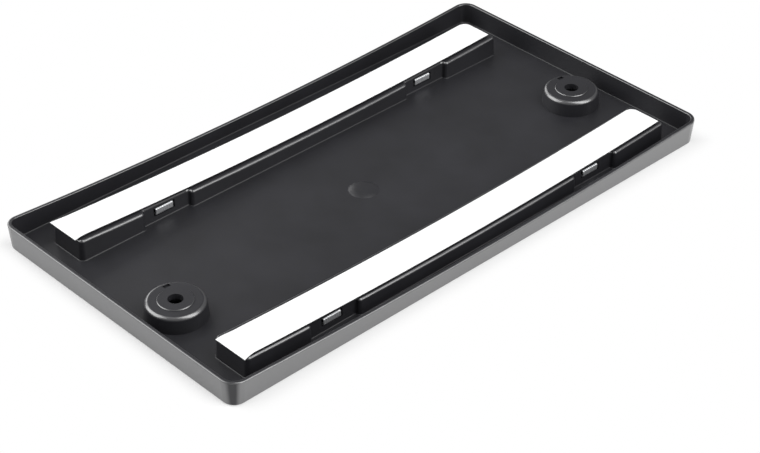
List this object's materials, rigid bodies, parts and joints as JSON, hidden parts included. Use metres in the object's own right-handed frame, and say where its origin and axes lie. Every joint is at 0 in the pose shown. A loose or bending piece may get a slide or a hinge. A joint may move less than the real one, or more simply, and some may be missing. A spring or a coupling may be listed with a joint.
{
  "type": "number plate holder",
  "caption": "Rectangular moulded holder for a car number plate, with taped ridges and screw bosses towards the bumper and clip nuts for the plate's screws.",
  "frame": {"origin": "middle of the flat front face, which the number plate lies against", "axes": "+X along the length of the plate, +Y towards its top edge, +Z from the plate to the bumper"},
  "size_m": [0.3192, 0.171, 0.0151],
  "materials": {
    "black_moulded_plastic": "satin",
    "spring_steel": "satin",
    "black_foam": "matte",
    "white_liner_paper": "satin"
  },
  "bodies": {
    "root": {"holder": "black_moulded_plastic", "u_nut_left_upper": "spring_steel", "u_nut_left_lower": "spring_steel", "u_nut_right_upper": "spring_steel", "u_nut_right_lower": "spring_steel", "foam_tape_upper": "black_foam", "foam_tape_lower": "black_foam", "release_liner_upper": "white_liner_paper", "release_liner_lower": "white_liner_paper"}
  },
  "joints": []
}
